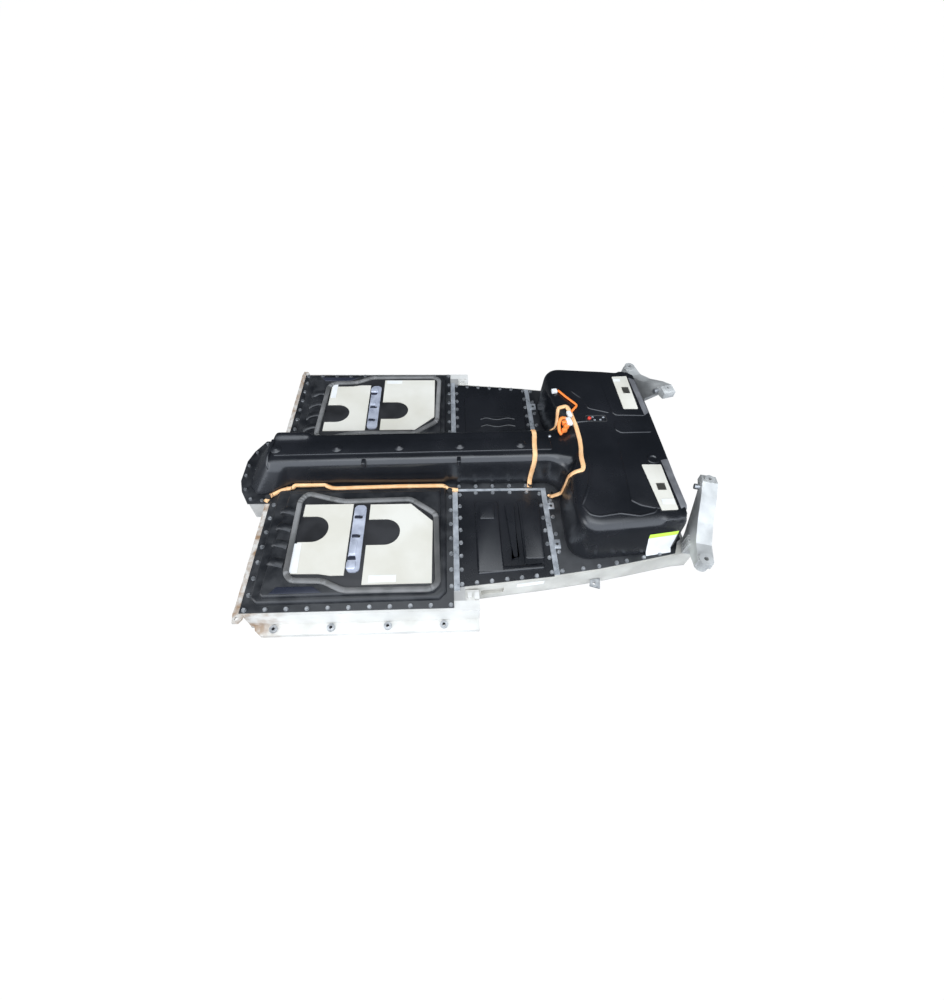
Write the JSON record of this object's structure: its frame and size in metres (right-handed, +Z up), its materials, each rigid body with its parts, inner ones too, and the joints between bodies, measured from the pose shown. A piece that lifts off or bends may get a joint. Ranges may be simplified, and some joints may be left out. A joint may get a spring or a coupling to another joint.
{
  "type": "ev traction battery pack",
  "caption": "Underfloor electric-car battery pack: aluminium tray, black moulded cover with front blocks, tunnel and raised rear box, foot-well covers, cast rear arms and orange wiring.",
  "frame": {"origin": "middle of the pack's outline at the underside of the floor plate", "axes": "+X from the nose to the rear arms, +Y to the left, +Z up"},
  "size_m": [2.0981, 1.512, 0.384],
  "materials": {
    "tray": "mill-finish aluminium, dull",
    "rail": "extruded aluminium, pale and dusty",
    "cast": "sand-cast aluminium",
    "seam": "bright aluminium strip",
    "cover": "glossy black moulding with light dust",
    "black_plastic": "matte black",
    "red_plastic": "red plastic",
    "orange_plastic": "orange plastic",
    "harness": "orange sleeve",
    "gasket": "black rubber",
    "plate": "off-white pad",
    "strap": "silver-lavender strap",
    "steel": "zinc-plated steel",
    "module": "dark plastic module case",
    "copper": "bare copper"
  },
  "bodies": {
    "root": {"arm_studs": "steel", "battery_controller": "steel", "busbar": "copper", "cable_grommets": "gasket", "cold_plate": "tray", "contactor_box": "black_plastic", "corner_bracket_left": "rail", "corner_bracket_right": "rail", "cover_bolts": "steel", "cross_rail_front_left": "tray", "cross_rail_front_right": "tray", "cross_rail_rear_left": "tray", "cross_rail_rear_right": "tray", "floor_plate": "tray", "foot_cover_bolts": "steel", "foot_cover_left": "cover", "foot_cover_right": "cover", "front_cross_rail": "rail", "front_plate_left": "plate", "front_plate_right": "plate", "harness_cross": "harness", "harness_rear": "harness", "harness_tunnel": "harness", "main_cover": "cover", "main_gasket": "gasket", "middle_plate_left": "plate", "middle_plate_right": "plate", "module_foot_left": "module", "module_foot_right": "module", "module_front_left": "module", "module_front_right": "module", "module_rear_lower": "module", "module_rear_upper": "module", "module_tunnel": "module", "mount_bushes": "steel", "nose_rail": "tray", "power_connector": "orange_plastic", "rail_end_block_left": "rail", "rail_end_block_right": "rail", "rear_arm_left": "cast", "rear_arm_right": "cast", "rear_cross_rail": "tray", "rear_plate_left": "plate", "rear_plate_right": "plate", "rear_side_rail_left": "rail", "rear_side_rail_right": "rail", "seam_frame_left": "seam", "seam_frame_right": "seam", "service_plug": "red_plastic", "service_port": "black_plastic", "side_rail_left": "rail", "side_rail_right": "rail", "strap_left": "strap", "strap_right": "strap", "tie_bracket_left": "steel", "tie_bracket_right": "steel", "tunnel_rail_left": "tray", "tunnel_rail_right": "tray", "vent_cap": "black_plastic"}
  },
  "joints": []
}
